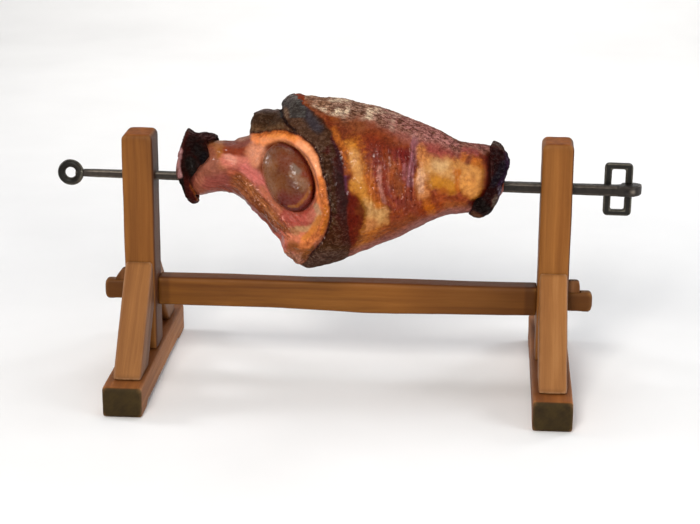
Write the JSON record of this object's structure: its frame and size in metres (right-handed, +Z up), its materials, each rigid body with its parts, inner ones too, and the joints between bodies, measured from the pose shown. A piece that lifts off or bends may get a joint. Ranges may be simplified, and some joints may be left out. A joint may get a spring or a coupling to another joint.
{
  "type": "ham holder stand",
  "caption": "Timber trestle stand with a turning iron spit carrying a whole roast ham, ring eye at one end and a swinging rectangular link handle at the other.",
  "frame": {"origin": "centre of the stand's footprint, on the ground", "axes": "+X along the spit from the ring eye to the link handle, -Y is the front, +Z up"},
  "size_m": [0.843, 0.38, 0.4289],
  "materials": {
    "foot_timber": "oiled rustic hardwood, darker end grain, worn pale edges",
    "post_timber": "oiled rustic hardwood with fine grain along the post",
    "brace_timber": "oiled rustic hardwood, slightly paler",
    "rail_timber": "oiled rustic hardwood with a golden sheen",
    "wedge_timber": "oiled hardwood",
    "dowel_wood": "raw hardwood dowel",
    "forged_iron": "hand-forged wrought iron, dark scale rubbed bright on the arrises",
    "link_iron": "blackened wrought iron",
    "roast_meat": "glossy roast ham: caramelised skin, fat rim and cut flesh",
    "charred_skin": "charred skin, rough with greasy highlights",
    "glazed_bone": "wet glossy brown joint head"
  },
  "bodies": {
    "stand": {"left_foot": "foot_timber", "left_post": "post_timber", "left_front_brace": "brace_timber", "left_rear_brace": "brace_timber", "left_wedge": "wedge_timber", "left_front_foot_dowel": "dowel_wood", "left_front_post_dowel": "dowel_wood", "left_rear_foot_dowel": "dowel_wood", "left_rear_post_dowel": "dowel_wood", "right_foot": "foot_timber", "right_post": "post_timber", "right_front_brace": "brace_timber", "right_rear_brace": "brace_timber", "right_wedge": "wedge_timber", "right_front_foot_dowel": "dowel_wood", "right_front_post_dowel": "dowel_wood", "right_rear_foot_dowel": "dowel_wood", "right_rear_post_dowel": "dowel_wood", "stretcher_rail": "rail_timber"},
    "spit": {"spit_bar": "forged_iron", "ring_eye": "forged_iron", "ham_meat": "roast_meat", "ham_joint_head": "glazed_bone", "ham_shank_skin": "charred_skin", "ham_end_skin": "charred_skin"},
    "link": {"handle_link": "link_iron"}
  },
  "joints": [
    {"name": "spit_spin", "type": "hinge", "parent": "stand", "child": "spit", "pos_m": [0, 0, 0.3004], "axis": [1, 0, -0.0087], "continuous": true},
    {"name": "link_swing", "type": "hinge", "parent": "spit", "child": "link", "pos_m": [0.40309, 0.0126, 0.29688], "axis": [-0.0087, 0, -1], "range_deg": [0, 275]}
  ]
}
